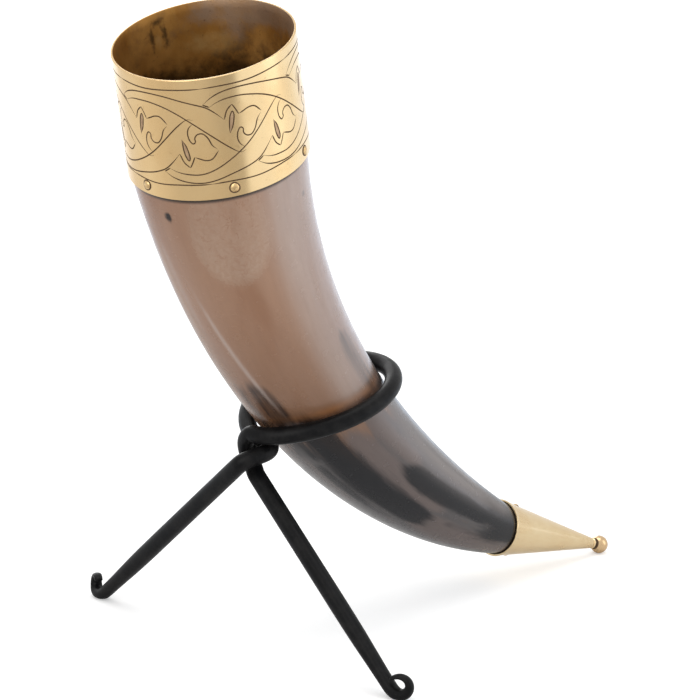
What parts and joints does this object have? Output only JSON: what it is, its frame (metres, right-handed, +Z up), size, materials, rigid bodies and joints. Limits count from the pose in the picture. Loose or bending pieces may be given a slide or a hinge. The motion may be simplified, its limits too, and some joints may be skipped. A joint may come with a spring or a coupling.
{
  "type": "drinking horn",
  "caption": "Curved hollow cow horn with an engraved brass collar and a brass tip with a ball, leaning in the twisted ring of an iron rod stand.",
  "frame": {"origin": "on the table under the middle of the object's box, midway between the collar's rim and the ball on the tip", "axes": "+Z up, the horn curves in the XZ plane with its mouth towards -X and its tip towards +X, the stand's feet are spread along Y"},
  "size_m": [0.2296, 0.1732, 0.2285],
  "materials": {
    "horn": "polished natural horn, taupe above and nearly black towards the tip",
    "collar_brass": "satin sheet brass with engraved lines",
    "tip_brass": "polished",
    "pin_brass": "filed and slightly tarnished",
    "seal_resin": "dark resin bead",
    "stand_iron": "blackened, satin"
  },
  "bodies": {
    "stand": {"stand": "stand_iron"},
    "horn": {"horn_body": "horn", "rim_collar": "collar_brass", "collar_seal": "seal_resin", "collar_pin_1": "pin_brass", "collar_pin_2": "pin_brass", "collar_pin_3": "pin_brass", "collar_pin_4": "pin_brass", "collar_pin_5": "pin_brass", "collar_pin_6": "pin_brass", "tip_cone": "tip_brass", "tip_ball": "tip_brass", "tip_pin_1": "pin_brass", "tip_pin_2": "pin_brass"}
  },
  "joints": [
    {"name": "horn_draw", "type": "hinge", "parent": "stand", "child": "horn", "pos_m": [0.155, 0, 0.2485], "axis": [0, 1, 0], "range_deg": [0, 42]}
  ]
}
